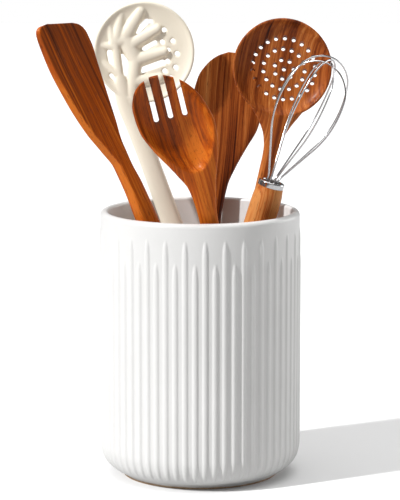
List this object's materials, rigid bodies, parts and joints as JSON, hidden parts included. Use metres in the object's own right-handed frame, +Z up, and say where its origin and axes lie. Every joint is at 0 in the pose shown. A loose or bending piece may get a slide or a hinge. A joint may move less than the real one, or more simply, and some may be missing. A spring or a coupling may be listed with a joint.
{
  "type": "utensil crock",
  "caption": "Ribbed white stoneware crock holding wooden kitchen tools, a moulded slotted server and a wire whisk that lift out.",
  "frame": {"origin": "centre of the crock's foot ring on the table", "axes": "+Z is up, the front in the picture looks along -Y, +X is to the right of the picture"},
  "size_m": [0.1955, 0.1438, 0.3032],
  "materials": {
    "glazed_stoneware": "satin white glaze",
    "striped_wood": "oiled, with dark stripes",
    "cream_plastic": "satin",
    "bright_steel": "polished steel",
    "dark_plug": "matte"
  },
  "bodies": {
    "crock": {"crock": "glazed_stoneware"},
    "spatula": {"spatula": "striped_wood"},
    "server": {"server": "cream_plastic"},
    "spork": {"spork": "striped_wood"},
    "paddle": {"paddle": "striped_wood"},
    "skimmer": {"skimmer": "striped_wood"},
    "whisk": {"whisk_handle": "striped_wood", "whisk_ferrule": "bright_steel", "whisk_plug": "dark_plug", "whisk_wire_1": "bright_steel", "whisk_wire_2": "bright_steel", "whisk_wire_3": "bright_steel", "whisk_wire_4": "bright_steel"}
  },
  "joints": [
    {"name": "spatula_lift", "type": "slide", "parent": "crock", "child": "spatula", "axis": [-0.3847, -0.0593, 0.9211], "range_m": [0, 0.2]},
    {"name": "server_lift", "type": "slide", "parent": "crock", "child": "server", "axis": [-0.3377, 0.0372, 0.9405], "range_m": [0, 0.2]},
    {"name": "spork_lift", "type": "slide", "parent": "crock", "child": "spork", "axis": [-0.2098, -0.2779, 0.9374], "range_m": [0, 0.2]},
    {"name": "paddle_lift", "type": "slide", "parent": "crock", "child": "paddle", "axis": [0.1167, 0.0443, 0.9922], "range_m": [0, 0.2]},
    {"name": "skimmer_lift", "type": "slide", "parent": "crock", "child": "skimmer", "axis": [0.1722, 0.0117, 0.985], "range_m": [0, 0.2]},
    {"name": "whisk_lift", "type": "slide", "parent": "crock", "child": "whisk", "axis": [0.2815, -0.0599, 0.9577], "range_m": [0, 0.2]}
  ]
}
